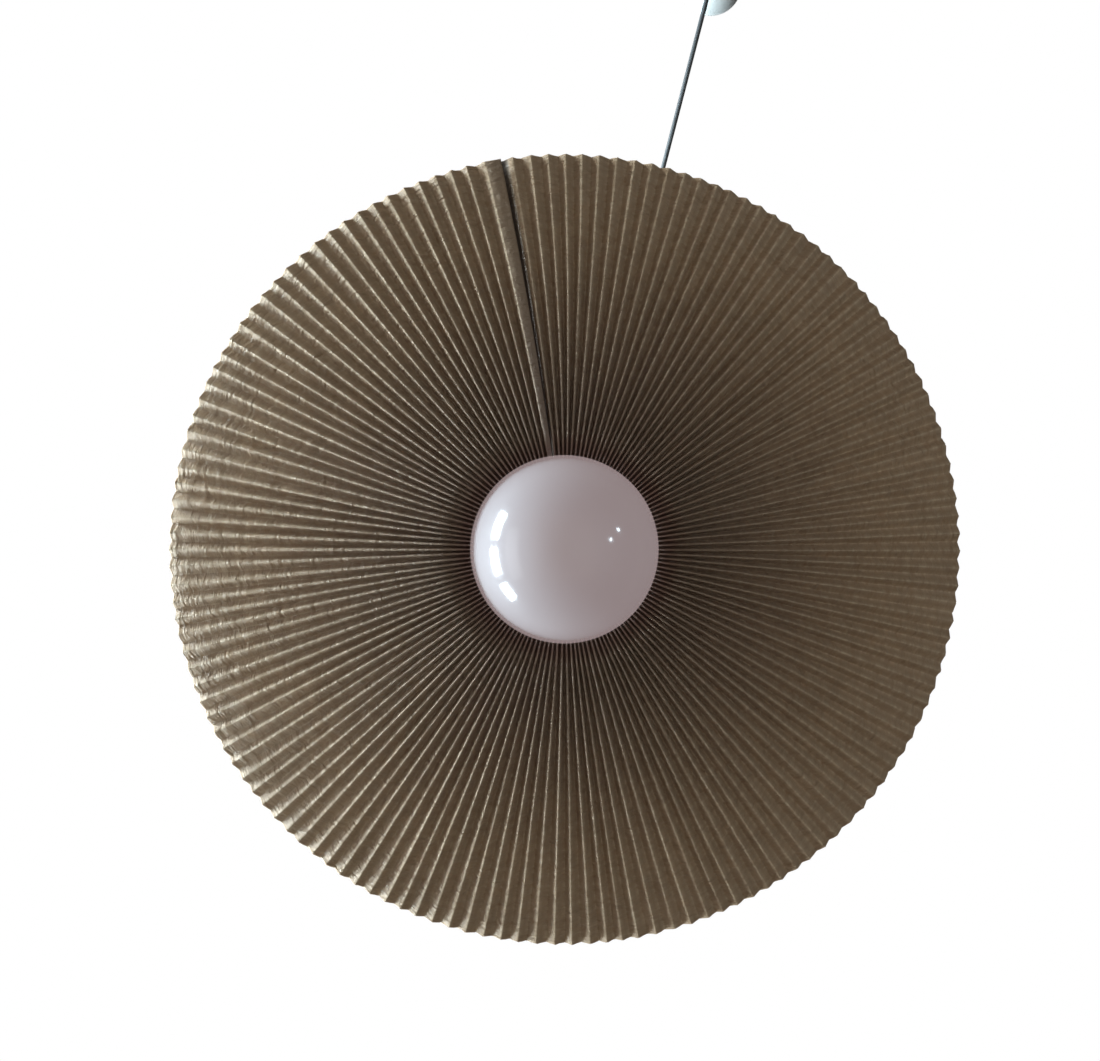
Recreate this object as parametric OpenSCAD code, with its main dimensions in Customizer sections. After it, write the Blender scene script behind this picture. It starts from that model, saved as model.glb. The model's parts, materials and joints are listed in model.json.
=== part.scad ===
// Pendant lamp with a pleated paper shade, an opal globe bulb and a swagged cord.
// The cord hangs from a ceiling hook over the lamp and swags across to a ceiling rose.
// Millimetres, +Z up. The origin is on the ceiling, on the lamp's axis.

/* [Hang] */
// Height of the ceiling above the shade's rim
drop = 700; // [640:5:900]
// Diameter of the round two-core cord
cord_d = 5; // [4.5:0.1:5]

/* [Shade] */
// Radius of the rim, at the middle of the pleats
rim_r = 262.5; // [250:0.5:265]
// Number of pleats round the shade
pleats = 142; // [138:1:146]
// Width of one face of a pleat, from fold to fold
pleat_face = 7; // [6.8:0.1:7.2]
// Thickness of the paper
paper_t = 0.3; // [0.2:0.05:0.35]
// Radius where the shallow skirt turns up into the crown
kink_r = 70; // [69:0.5:72]
// Height of that turn from the rim; it hangs a little lower than the rim
kink_h = -20; // [-24:1:-14]
// Radius of the waist, where the string gathers the pleats
waist_r = 60; // [60:0.5:62]
// Radius of the open collar above the waist
collar_r = 66; // [64:0.5:70]

/* [Bulb] */
// Diameter of the opal glass globe
globe_d = 125; // [115:1:125]
// Wall of the glass
glass_t = 1; // [0.8:0.1:1.2]

/* [Shade fitting] */
// Outer diameter of the carrier's wire ring
carrier_d = 112; // [108:0.5:112]
// Diameter of the carrier's wire
carrier_wire_d = 3; // [2.5:0.1:3]
// Outer diameter of the two threaded shade rings
shade_ring_d = 58; // [54:1:60]

/* [Ceiling rose] */
// Diameter of the cup at the ceiling
rose_d = 80; // [78:1:90]
// Height of the cup
rose_h = 62; // [58:1:66]

/* [Swag hook] */
// Diameter of the hook's ceiling plate
hook_plate_d = 68; // [66:1:80]
// Bend of the cord's middle line over the saddle
saddle_r = 20; // [20:1:20]

/* [Hidden] */
$fn = 96;
eps = 0.01;

cord_r = cord_d / 2;
running = 0.3;              // gap between neighbours that move, or that are only slipped together

// Shade: its profile turns from the shallow skirt to the steep crown.
skirt_slope = atan(kink_h / (rim_r - kink_r));
waist_h = 108;
collar_h = 124;
crown_slope = atan((waist_h - kink_h) / (kink_r - waist_r));
collar_slope = atan((collar_h - waist_h) / (collar_r - waist_r));
string_r = 1;

// Bulb: a globe on the rim's plane, a short neck and an Edison cap of 27 mm.
globe_r = globe_d / 2;
neck_r = 17;
neck_fillet = 18;
neck_top_h = 79;
cap_r = 13.05;
cap_wall = 0.4;
cap_base_h = 86.5;
cap_top_h = 108;
bulb_tip_h = 115;

// Lampholder heights above the rim's plane.
skirt_r = 19.5;
skirt_base_h = 86;
skirt_top_h = 123;
carrier_h = 99;
plate_t = 1.5;
ring_t = 8;
holder_top_h = 147;
grip_top_h = 172;
cord_end_h = 146;
core_r = 1.1;               // one insulated core of the cord
bore_r = cord_r + running;
grip_collar_r = 8.5;
grip_screw_h = 152.2;
pinch_hole_r = 1.4;         // hole for the screw that pins the cord in a grip
pinch_head_t = 2.2;

// Hook and swag. The swag lies in one upright plane, turned a little from +Y.
swag_turn = 14.5;
swag_span = 750;
saddle_z = -42;
hook_plate_t = 5;
saddle_half_w = 6;
arm_t = 4;
arm_x = saddle_half_w + 1;
pivot_gap = 3;              // cord left out at the swing's pivot
clamp_t = 3;
clamp_screw_x = 4.7;

// The swag's route: [distance from the lamp's axis, height], over the saddle and down to the rose.
swag_route = [
    [0, -42], [0.8, -36.8], [2.8, -32], [6, -27.8], [10, -24.6], [15, -22.6], [20, -22],
    [25, -22.7], [30, -24.8], [45, -33.2], [70, -47.5], [105, -66.5], [150, -88.5],
    [205, -113], [270, -138.5], [340, -163], [410, -184], [480, -201], [545, -213],
    [600, -219.5], [645, -221], [678, -218], [704, -211], [725, -198], [740, -181],
    [748, -161], [750, -140], [750, -115], [750, -90], [750, -62], [750, -36]
];
cord_step = 15;             // spacing of the tube's rings, three cord diameters
cord_sides = 8;
cord_drop_rings = 17;
wire_step = 2.5;            // the same for the thin cores

// Rose
rose_wall = 2.2;
rose_plate_r = 33;
tongue_y = cord_r + 0.1;
tongue_t = 1.5;
rose_clamp_z = -44;
rose_grip_z = -rose_h;
rose_collar_r = 8.4;
rose_screw_z = rose_grip_z - 4.5;

// Mirrors a shape's copy to the other side of the YZ plane.
module both_sides() {
    children();
    mirror([1, 0, 0]) children();
}

// Moves a shape from heights above the rim's plane to its place under the ceiling.
module at_lamp() {
    translate([0, 0, -drop]) children();
}

// Turns a shape drawn with +Y as the swag's direction.
module along_swag() {
    rotate([0, 0, swag_turn]) children();
}

// Moves a shape drawn on the lamp's axis to the ceiling rose.
module at_rose() {
    translate([-swag_span * sin(swag_turn), swag_span * cos(swag_turn), 0]) children();
}

// Round bar between two points.
module rod(a, b, r) {
    way = b - a;
    translate(a)
        rotate([0, acos(way[2] / norm(way)), atan2(way[1], way[0])])
            cylinder(h = norm(way), r = r, $fn = 24);
}

function arc(centre, r, from, to, steps) =
    [for (i = [0 : steps]) let (a = from + (to - from) * i / steps)
        centre + r * [cos(a), sin(a)]];

// ---- Cord ----

function spline(p, i, u) =
    let (a = p[max(i - 1, 0)], b = p[i], c = p[i + 1], d = p[min(i + 2, len(p) - 1)])
    0.5 * (2 * b + (c - a) * u + (2 * a - 5 * b + 4 * c - d) * u * u
        + (3 * b - a - 3 * c + d) * u * u * u);

// Rounds a route's corners, with points about one step apart.
function smooth_route(p, step) = concat(
    [for (i = [0 : len(p) - 2]) let (n = max(1, round(norm(p[i + 1] - p[i]) / step)))
        for (k = [0 : n - 1]) spline(p, i, k / n)],
    [p[len(p) - 1]]);

// Tube of radius r along a route of points; no stretch of it runs along X.
module tube(route, r) {
    n = len(route);
    points = [for (i = [0 : n - 1])
        let (way = route[min(i + 1, n - 1)] - route[max(i - 1, 0)],
             level = cross(way, [1, 0, 0]), side = level / norm(level),
             up = cross(side, way) / norm(way))
        for (k = [0 : cord_sides - 1]) let (a = 360 * (k + 0.5) / cord_sides)
            route[i] + r * (cos(a) * side + sin(a) * up)];
    walls = [for (i = [0 : n - 2]) for (k = [0 : cord_sides - 1])
        let (a = i * cord_sides + k, b = i * cord_sides + (k + 1) % cord_sides)
        [a, b, b + cord_sides, a + cord_sides]];
    first = [for (k = [0 : cord_sides - 1]) cord_sides - 1 - k];
    last = [for (k = [0 : cord_sides - 1]) (n - 1) * cord_sides + k];
    polyhedron(points, concat(walls, [first, last]), convexity = 6);
}

module cord_drop() {
    top = saddle_z - pivot_gap;
    bottom = -drop + cord_end_h;
    route = [for (i = [0 : cord_drop_rings - 1])
        [0, 0, top + (bottom - top) * i / (cord_drop_rings - 1)]];
    color("dimgray") tube(route, cord_r);
}

module cord_swag() {
    route = smooth_route([for (p = swag_route) [0, p[0], p[1]]], cord_step);
    color("dimgray") along_swag() tube(route, cord_r);
}

// ---- Shade ----

// Rings of the shade from the rim to the collar: [radius, height, tilt of the outward normal].
shade_rings = [
    [rim_r, 0, skirt_slope],
    [kink_r + 6, kink_h * (rim_r - kink_r - 6) / (rim_r - kink_r), skirt_slope + 8],
    [kink_r - 0.5, kink_h + 6, crown_slope - 8],
    [waist_r, waist_h, 90],
    [collar_r, collar_h, 180 - collar_slope]
];

// Distance from the middle of the paper to a fold, on the outer (1) or inner (-1) skin.
function fold_reach(radius, fold, skin) =
    let (half_pitch = PI * radius / pleats)
    fold * sqrt(pleat_face * pleat_face - half_pitch * half_pitch) / 2
        + skin * paper_t / 2 * pleat_face / half_pitch;

function fold_point(ring, k, skin) =
    let (reach = fold_reach(ring[0], k % 2 == 0 ? -1 : 1, skin),
         radius = ring[0] + reach * sin(ring[2]),
         a = 180 * k / pleats)
    [radius * cos(a), radius * sin(a), ring[1] + reach * cos(ring[2])];

module pleated_shade() {
    folds = 2 * pleats;
    n = len(shade_rings);
    points = [for (skin = [1, -1]) for (ring = shade_rings) for (k = [0 : folds - 1])
        fold_point(ring, k, skin)];
    outer = [for (i = [0 : n - 2]) for (k = [0 : folds - 1])
        let (a = i * folds + k, b = i * folds + (k + 1) % folds)
        each [[a, a + folds, b], [b, a + folds, b + folds]]];
    inner = [for (f = outer) [f[2], f[1], f[0]] + n * folds * [1, 1, 1]];
    rim = [for (k = [0 : folds - 1]) let (b = (k + 1) % folds, low = n * folds)
        each [[k, b, k + low], [b, b + low, k + low]]];
    collar = [for (k = [0 : folds - 1])
        let (a = (n - 1) * folds + k, b = (n - 1) * folds + (k + 1) % folds, low = n * folds)
        each [[a, a + low, b], [b, a + low, b + low]]];
    color("tan") at_lamp()
        polyhedron(points, concat(outer, inner, rim, collar), convexity = 20);
}

module gather_string() {
    loop_r = waist_r + fold_reach(waist_r, 1, 1) + string_r + running;
    knot = [0, loop_r + 2, waist_h];
    tail = [[1.5, loop_r + 3.4, waist_h - 1], [5, loop_r + 4, waist_h - 4],
        [8, loop_r + 3.6, waist_h - 11], [9, loop_r + 4, waist_h - 20]];
    color("wheat") at_lamp() {
        translate([0, 0, waist_h]) rotate_extrude() translate([loop_r, 0]) circle(string_r, $fn = 24);
        translate(knot) sphere(r = 2.3, $fn = 32);
        both_sides() tube(smooth_route(tail, wire_step), 0.8);
    }
}

// Wire ring with three arms and a flat centre ring, held between the two shade rings.
module shade_carrier() {
    wire_r = carrier_wire_d / 2;
    ring_r = carrier_d / 2 - wire_r;
    centre_r = 30;
    color("silver") at_lamp() translate([0, 0, carrier_h]) {
        rotate_extrude() translate([ring_r, 0]) circle(wire_r, $fn = 32);
        translate([0, 0, -plate_t / 2]) difference() {
            cylinder(h = plate_t, r = centre_r);
            translate([0, 0, -1]) cylinder(h = plate_t + 2, r = skirt_r + 0.5);
        }
        for (a = [30, 150, 270]) rotate([0, 0, a])
            rod([centre_r - 3, 0, plate_t / 2 + 0.4], [ring_r, 0, 0], wire_r * 0.8);
    }
}

// Threaded ring with grip notches round its edge; base_h is its lower face.
module shade_ring(base_h) {
    notches = 24;
    color("#1c1c1c") at_lamp() translate([0, 0, base_h]) difference() {
        rotate_extrude() polygon([
            [skirt_r + 0.05, 0], [shade_ring_d / 2 - 1, 0], [shade_ring_d / 2, 1],
            [shade_ring_d / 2, ring_t - 1], [shade_ring_d / 2 - 1, ring_t], [skirt_r + 0.05, ring_t]]);
        for (i = [0 : notches - 1]) rotate([0, 0, 360 * i / notches])
            translate([shade_ring_d / 2 + 0.5, 0, -1]) cylinder(h = ring_t + 2, r = 1.3, $fn = 16);
    }
}

module shade_ring_upper() {
    // rests on the arms, where they lie on the centre ring
    shade_ring(carrier_h + plate_t / 2 + 1.7);
}

module shade_ring_lower() {
    shade_ring(carrier_h - plate_t / 2 - ring_t);
}

// ---- Lampholder ----

module lampholder_skirt() {
    color("#202020") at_lamp() rotate_extrude() polygon([
        [15.2, skirt_base_h], [skirt_r - 0.6, skirt_base_h], [skirt_r, skirt_base_h + 0.6],
        [skirt_r, 115.5], [18, 116], [18, skirt_top_h], [16.6, skirt_top_h], [16.6, 90], [15.2, 88.6]]);
}

module lampholder_cap() {
    wall = 2;
    outer = concat([[skirt_r + 0.6, 116.3], [skirt_r + 0.6, 126]],
        arc([skirt_r + 0.6 - 17, 130], 17, 0, 78, 10), [[8, holder_top_h], [5.1, holder_top_h]]);
    inner = concat([[5.1, holder_top_h - wall]],
        arc([skirt_r + 0.6 - 17, 130], 17 - wall, 78, 0, 10),
        [[skirt_r - 1.4, 126], [18.1, 124], [18.1, 116.3]]);
    color("#202020") at_lamp() rotate_extrude() polygon(concat(outer, inner));
}

// Porcelain insert that carries the thread shell and the contacts.
module lampholder_core() {
    color("ivory") at_lamp() difference() {
        union() {
            translate([0, 0, 113.6]) cylinder(h = 8.4, r = 16.4);
            translate([-11, -3.2, 121.9]) cube([22, 6.4, 1.1]);
        }
        translate([0, 0, 113.5]) cylinder(h = 5, r = 8);
        both_sides() translate([14.8, -2.6, 113]) cube([1.1, 5.2, 12]);
        both_sides() translate([8, 0, 113]) cylinder(h = 12, r = 0.9, $fn = 24);
    }
}

module thread_shell() {
    color("gold") at_lamp() translate([0, 0, 90.5]) difference() {
        cylinder(h = 23.1, r = cap_r + 0.9);
        translate([0, 0, -1]) cylinder(h = 26, r = cap_r + 0.5);
    }
}

// Springy brass leaf that meets the bulb's tip.
module centre_contact() {
    color("gold") at_lamp() {
        translate([0, 0, bulb_tip_h + 0.4]) cylinder(h = 0.5, r = 3.4, $fn = 48);
        translate([-2, -2, bulb_tip_h + 0.9]) cube([6, 4, 0.6]);
        translate([2, -2, bulb_tip_h + 1.5]) cube([2, 4, 2]);
    }
}

// Two upright brass strips between the thread shell and the skirt.
module side_contact() {
    color("gold") at_lamp() both_sides() translate([14.9, -2.5, 97]) cube([0.6, 5, 25.5]);
}

module holder_terminals() {
    color("goldenrod") at_lamp() both_sides() difference() {
        translate([5, -3, 123]) cube([6.5, 6, 7]);
        translate([8.2, -4, 126.8]) rotate([-90, 0, 0]) cylinder(h = 8, r = 1.3, $fn = 24);
    }
}

module holder_terminal_screws() {
    color("silver") at_lamp() both_sides() difference() {
        translate([8.2, 0, 130]) cylinder(h = 2, r = 2.4, $fn = 32);
        translate([8.2 - 3, -0.4, 131.2]) cube([6, 0.8, 1]);
    }
}

// The cord's two cores, from its stripped end to the holder's terminals.
module holder_wires() {
    route = [[1.2, 0, cord_end_h], [1.2, 0, cord_end_h - 1.5], [1.6, -1.2, 141], [5, -5.5, 133],
        [8.2, -6, 128], [8.2, -3.1, 126.8]];
    color("saddlebrown") at_lamp() both_sides() tube(smooth_route(route, wire_step), core_r);
}

// Screw that pins the cord in a grip, from the grip's axis out along +X.
module pinch_screw(collar_r, head_r) {
    rotate([0, 90, 0]) difference() {
        union() {
            translate([0, 0, bore_r + 0.1])
                cylinder(h = collar_r - bore_r, r = pinch_hole_r - 0.15, $fn = 32);
            translate([0, 0, collar_r]) cylinder(h = pinch_head_t, r = head_r, $fn = 32);
        }
        translate([-0.4, -head_r - 1, collar_r + pinch_head_t - 0.8]) cube([0.8, 2 * head_r + 2, 1]);
    }
}

module cord_grip() {
    color("#262626") at_lamp() difference() {
        rotate_extrude() polygon([
            [bore_r, 142.5], [4.9, 142.5], [4.9, holder_top_h + 0.1], [8, holder_top_h + 0.1],
            [grip_collar_r, 148], [grip_collar_r, 156], [7.6, 157.5], [6, 162], [5, 167],
            [4.4, grip_top_h - 0.8], [4, grip_top_h], [bore_r + 0.4, grip_top_h], [bore_r, grip_top_h - 1]]);
        translate([0, 0, grip_screw_h]) rotate([0, 90, 0]) cylinder(h = 12, r = pinch_hole_r, $fn = 32);
    }
}

module cord_grip_screw() {
    color("#262626") at_lamp() translate([0, 0, grip_screw_h]) pinch_screw(grip_collar_r, 2.3);
}

// ---- Bulb ----

// One skin of the bulb's glass, inset by gap, from the bottom of the globe to the cap.
function glass_skin(gap) =
    let (fillet = neck_fillet + gap, x = neck_r + neck_fillet,
         y = sqrt(pow(globe_r + neck_fillet, 2) - x * x), meet = atan2(y, x))
    concat(arc([0, 0], globe_r - gap, -90, meet, 26),
        arc([x, y], fillet, 180 + meet, 180, 8),
        [[neck_r - gap, neck_top_h], [12.4 - gap, 87], [12.4 - gap, 92]]);

module bulb_globe() {
    outer = glass_skin(0);
    inner = glass_skin(glass_t);
    color("white") at_lamp() rotate_extrude()
        polygon(concat(outer, [for (i = [len(inner) - 1 : -1 : 0]) inner[i]]));
}

module bulb_cap() {
    color("silver") at_lamp() rotate_extrude() polygon([
        [cap_r - cap_wall, cap_base_h], [cap_r, cap_base_h], [cap_r, cap_top_h], [11.2, 110.2],
        [10.9, 109.8], [cap_r - cap_wall, cap_top_h - 0.2]]);
}

module bulb_insulator() {
    color("#101010") at_lamp() translate([0, 0, 110.5]) cylinder(h = 2.7, r1 = 10.8, r2 = 5.2);
}

module bulb_contact() {
    color("silver") at_lamp() rotate_extrude()
        polygon([[0, 113.2], [4.6, 113.2], [4.6, 114], [3.4, bulb_tip_h], [0, bulb_tip_h]]);
}

module bulb_stem() {
    color("lightcyan") at_lamp() rotate_extrude() polygon(concat(
        [[0, 91], [11, 91], [11, 90], [6, 86], [4.5, 80], [3.6, 50], [3.6, 30]],
        arc([0, 30], 3.6, 0, -90, 6)));
}

filament_count = 6;
filament_top = [7, 0, 18];
filament_foot = [15, 0, -20];

module bulb_wires() {
    color("silver") at_lamp() {
        rod([0, 0, 26.5], [0, 0, filament_foot[2]], 0.5);
        for (i = [0 : filament_count - 1]) rotate([0, 0, 360 * i / filament_count]) {
            rod([0, 0, filament_foot[2]], filament_foot, 0.4);
            rod([3.4, 0, 30], filament_top, 0.4);
        }
    }
}

module bulb_filaments() {
    color("khaki") at_lamp() for (i = [0 : filament_count - 1]) rotate([0, 0, 360 * i / filament_count])
        rod(filament_top + [0.5, 0, -0.6], filament_foot + [0, 0, 0.6], 0.9);
}

// ---- Ceiling hook ----

// Ceiling plate with two screw holes and one arm down beside the saddle.
module hook_plate() {
    hole_x = 20;
    arm_w = 20;
    arm_base = saddle_z - 4;
    color("whitesmoke") {
        difference() {
            rotate_extrude() polygon([
                [0, 0], [hook_plate_d / 2, 0], [hook_plate_d / 2, -3.2],
                [hook_plate_d / 2 - 1.8, -hook_plate_t], [0, -hook_plate_t]]);
            both_sides() translate([hole_x, 0, -hook_plate_t - 1])
                cylinder(h = hook_plate_t + 2, r = 2.25, $fn = 48);
        }
        along_swag() difference() {
            translate([arm_x, saddle_r - arm_w / 2, arm_base])
                cube([arm_t, arm_w, -hook_plate_t - arm_base]);
            translate([arm_x - 1, saddle_r, saddle_z + 8]) rotate([0, 90, 0])
                cylinder(h = arm_t + 2, r = 2.6, $fn = 48);
        }
    }
}

// Upper half of a grooved wheel, which keeps the cord's bend wide.
module hook_saddle() {
    groove_r = cord_r + 0.7;
    flange_r = saddle_r + cord_r;
    color("whitesmoke") along_swag() difference() {
        translate([0, saddle_r, saddle_z]) rotate([90, 0, 90]) rotate_extrude(angle = 180)
            difference() {
                translate([0, -saddle_half_w]) square([flange_r, 2 * saddle_half_w]);
                translate([saddle_r, 0]) circle(groove_r, $fn = 48);
                translate([saddle_r, -groove_r]) square([cord_r + 1, 2 * groove_r]);
            }
        translate([-saddle_half_w - 1, saddle_r, saddle_z + 8]) rotate([0, 90, 0])
            cylinder(h = 2 * saddle_half_w + 2, r = 2.6, $fn = 48);
        both_sides() translate([clamp_screw_x, saddle_r, saddle_z + flange_r - 8])
            cylinder(h = 10, r = 1.05, $fn = 24);
    }
    color("whitesmoke") along_swag() difference() {
        translate([saddle_half_w - eps, saddle_r, saddle_z + 8]) rotate([0, 90, 0])
            cylinder(h = 1 + eps, r = 6);
        translate([saddle_half_w - 1, saddle_r, saddle_z + 8]) rotate([0, 90, 0])
            cylinder(h = 3, r = 2.6, $fn = 48);
    }
}

module hook_saddle_screw() {
    color("silver") along_swag() translate([0, saddle_r, saddle_z + 8]) rotate([0, 90, 0]) {
        translate([0, 0, -saddle_half_w]) cylinder(h = saddle_half_w + arm_x + arm_t, r = 2.5, $fn = 48);
        difference() {
            translate([0, 0, arm_x + arm_t]) cylinder(h = 2.6, r = 4.5, $fn = 48);
            translate([-0.5, -5, arm_x + arm_t + 1.6]) cube([1, 10, 2]);
        }
    }
}

module hook_clamp() {
    top_r = saddle_r + cord_r;
    color("whitesmoke") along_swag() difference() {
        translate([-saddle_half_w, saddle_r - 5, saddle_z + top_r + 0.05])
            cube([2 * saddle_half_w, 10, clamp_t]);
        both_sides() translate([clamp_screw_x, saddle_r, saddle_z + top_r - 1])
            cylinder(h = clamp_t + 3, r = 1.05, $fn = 24);
    }
}

module hook_clamp_screws() {
    seat = saddle_z + saddle_r + cord_r + 0.05 + clamp_t;
    color("silver") along_swag() both_sides() translate([clamp_screw_x, saddle_r, seat]) difference() {
        union() {
            translate([0, 0, -9]) cylinder(h = 9, r = 1, $fn = 24);
            cylinder(h = 1.4, r = 1.9, $fn = 32);
        }
        translate([-0.25, -2.5, 0.8]) cube([0.5, 5, 1]);
    }
}

// ---- Ceiling rose ----

// Round plate with two screw holes and a tongue bent down for the cord clamp.
module rose_plate() {
    color("silver") at_rose() {
        difference() {
            translate([0, 0, -plate_t]) cylinder(h = plate_t, r = rose_plate_r);
            both_sides() translate([25, 0, -plate_t - 1]) cylinder(h = plate_t + 2, r = 2.25, $fn = 48);
        }
        difference() {
            translate([-7, tongue_y, rose_clamp_z - 3]) cube([14, tongue_t, -plate_t - rose_clamp_z + 3]);
            both_sides() translate([4.9, tongue_y - 1, rose_clamp_z + 4]) rotate([-90, 0, 0])
                cylinder(h = tongue_t + 2, r = 1.05, $fn = 24);
        }
    }
}

module rose_cord_clamp() {
    color("silver") at_rose() difference() {
        translate([-7, -tongue_y - 1.6, rose_clamp_z]) cube([14, 1.6, 8]);
        both_sides() translate([4.9, -tongue_y - 3, rose_clamp_z + 4]) rotate([-90, 0, 0])
            cylinder(h = 4, r = 1.05, $fn = 24);
    }
}

module rose_clamp_screws() {
    seat = -tongue_y - 1.6;
    color("gold") at_rose() both_sides() translate([4.9, seat, rose_clamp_z + 4]) rotate([-90, 0, 0])
        union() {
            cylinder(h = tongue_y + tongue_t - seat + 1, r = 1, $fn = 24);
            translate([0, 0, -1.4]) cylinder(h = 1.4, r = 1.9, $fn = 32);
        }
}

block_y = -25;
block_w = 13;
block_h = 15;
pole_x = 6.5;

module terminal_block() {
    color("white") at_rose() difference() {
        translate([-14, block_y, -plate_t - block_h]) cube([28, block_w, block_h]);
        both_sides() {
            translate([pole_x, block_y - 1, -10]) rotate([-90, 0, 0])
                cylinder(h = block_w + 2, r = 1.8, $fn = 32);
            for (y = [3.5, 9.5]) translate([pole_x, block_y + y, -plate_t - block_h - 1])
                cylinder(h = 6, r = 2, $fn = 32);
        }
        translate([0, block_y + block_w / 2, -plate_t - block_h - 1]) cylinder(h = block_h + 2, r = 1.6);
    }
}

module terminal_screws() {
    color("gold") at_rose() both_sides() for (y = [3.5, 9.5])
        translate([pole_x, block_y + y, -plate_t - block_h + 1]) difference() {
            cylinder(h = 4, r = 1.7, $fn = 32);
            translate([-0.3, -2, -1]) cube([0.6, 4, 1.8]);
        }
}

module rose_wires() {
    route = [[1.2, 0, -36], [1.2, 0, -34.5], [1.6, -1.5, -30], [4.5, -6, -16],
        [pole_x, -10.5, -10.4], [pole_x, -20, -10]];
    color("saddlebrown") at_rose() both_sides() tube(smooth_route(route, wire_step), core_r);
}

module rose_cup() {
    mouth_r = rose_d / 2;
    foot_r = mouth_r - 5;
    corner = 8;
    color("whitesmoke") at_rose() rotate_extrude() polygon(concat(
        [[mouth_r - rose_wall, -0.6], [mouth_r, -0.6], [mouth_r, -4]],
        arc([foot_r - corner, -rose_h + corner], corner, 0, -90, 8),
        [[5.2, -rose_h], [5.2, -rose_h + rose_wall]],
        arc([foot_r - corner, -rose_h + corner], corner - rose_wall, -90, 0, 8),
        [[mouth_r - rose_wall, -4]]));
}

module rose_cord_grip() {
    color("whitesmoke") at_rose() difference() {
        rotate_extrude() polygon([
            [bore_r, -54.5], [4.9, -54.5], [4.9, rose_grip_z - 0.1], [8, rose_grip_z - 0.1],
            [rose_collar_r, rose_grip_z - 1], [rose_collar_r, rose_grip_z - 8], [7, rose_grip_z - 11],
            [5.4, rose_grip_z - 16], [4.4, rose_grip_z - 21], [4, rose_grip_z - 22],
            [bore_r + 0.4, rose_grip_z - 22], [bore_r, rose_grip_z - 21]]);
        translate([0, 0, rose_screw_z]) rotate([0, 90, 0]) cylinder(h = 12, r = pinch_hole_r, $fn = 32);
    }
}

module rose_grip_nut() {
    color("silver") at_rose() translate([0, 0, -rose_h + rose_wall]) difference() {
        cylinder(h = 3, r = 8, $fn = 6);
        translate([0, 0, -1]) cylinder(h = 5, r = 5, $fn = 48);
    }
}

module rose_grip_screw() {
    color("whitesmoke") at_rose() translate([0, 0, rose_screw_z]) pinch_screw(rose_collar_r, 2.1);
}

pleated_shade();
gather_string();
shade_carrier();
shade_ring_upper();
shade_ring_lower();
lampholder_skirt();
lampholder_cap();
lampholder_core();
thread_shell();
centre_contact();
side_contact();
holder_terminals();
holder_terminal_screws();
holder_wires();
cord_grip();
cord_grip_screw();
cord_drop();
bulb_globe();
bulb_cap();
bulb_stem();
bulb_wires();
bulb_filaments();
bulb_insulator();
bulb_contact();
hook_plate();
hook_saddle();
hook_saddle_screw();
hook_clamp();
hook_clamp_screws();
cord_swag();
rose_plate();
rose_cord_clamp();
rose_clamp_screws();
terminal_block();
terminal_screws();
rose_wires();
rose_cup();
rose_cord_grip();
rose_grip_nut();
rose_grip_screw();
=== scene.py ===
"""Looks of the pleated paper pendant lamp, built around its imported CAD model.

Metres, in the row frame: +Z up, the origin on the ceiling, on the lamp's axis. Heights named
`height` are above the shade's rim, which hangs DROP below the ceiling.
"""

import json
import math

import bpy
import numpy as np
from mathutils import Matrix, Vector

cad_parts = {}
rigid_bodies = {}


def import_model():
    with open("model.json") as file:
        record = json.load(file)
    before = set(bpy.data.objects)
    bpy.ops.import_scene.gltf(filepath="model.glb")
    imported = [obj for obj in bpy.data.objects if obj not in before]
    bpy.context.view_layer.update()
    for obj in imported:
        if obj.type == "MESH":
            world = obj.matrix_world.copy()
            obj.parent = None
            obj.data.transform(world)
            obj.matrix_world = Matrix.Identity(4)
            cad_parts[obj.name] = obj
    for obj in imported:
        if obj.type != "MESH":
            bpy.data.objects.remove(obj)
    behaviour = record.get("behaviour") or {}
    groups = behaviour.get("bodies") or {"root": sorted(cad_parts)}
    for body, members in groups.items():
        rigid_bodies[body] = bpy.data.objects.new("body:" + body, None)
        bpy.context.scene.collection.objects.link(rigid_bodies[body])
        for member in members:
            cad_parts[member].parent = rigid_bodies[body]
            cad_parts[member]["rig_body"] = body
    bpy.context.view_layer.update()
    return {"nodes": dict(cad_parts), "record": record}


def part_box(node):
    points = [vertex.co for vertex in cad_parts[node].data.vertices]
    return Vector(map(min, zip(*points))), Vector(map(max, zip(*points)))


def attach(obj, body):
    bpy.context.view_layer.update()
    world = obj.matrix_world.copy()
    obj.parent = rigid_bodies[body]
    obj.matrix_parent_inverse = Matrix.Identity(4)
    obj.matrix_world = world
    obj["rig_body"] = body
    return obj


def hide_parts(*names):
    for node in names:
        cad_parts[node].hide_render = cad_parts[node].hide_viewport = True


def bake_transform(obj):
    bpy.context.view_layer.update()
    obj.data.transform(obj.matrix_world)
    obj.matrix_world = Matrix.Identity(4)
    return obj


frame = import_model()
scene = bpy.context.scene
MM = 0.001

# ---- Sizes that the CAD model also has ----

DROP = 0.700
SWAG_TURN = math.radians(14.5)
SWAG_SPAN = 0.750
PLEATS = 142
PLEAT_FACE = 0.0070
PAPER_T = 0.0003
RIM_R = 0.2625
KINK_R, KINK_H = 0.070, -0.020
WAIST_R, WAIST_H = 0.060, 0.108
COLLAR_R, COLLAR_H = 0.066, 0.124
CORD_D = 0.005
THREAD_PITCH = 0.00362      # of the Edison thread
ROSE_AT = (-SWAG_SPAN * math.sin(SWAG_TURN), SWAG_SPAN * math.cos(SWAG_TURN))

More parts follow.
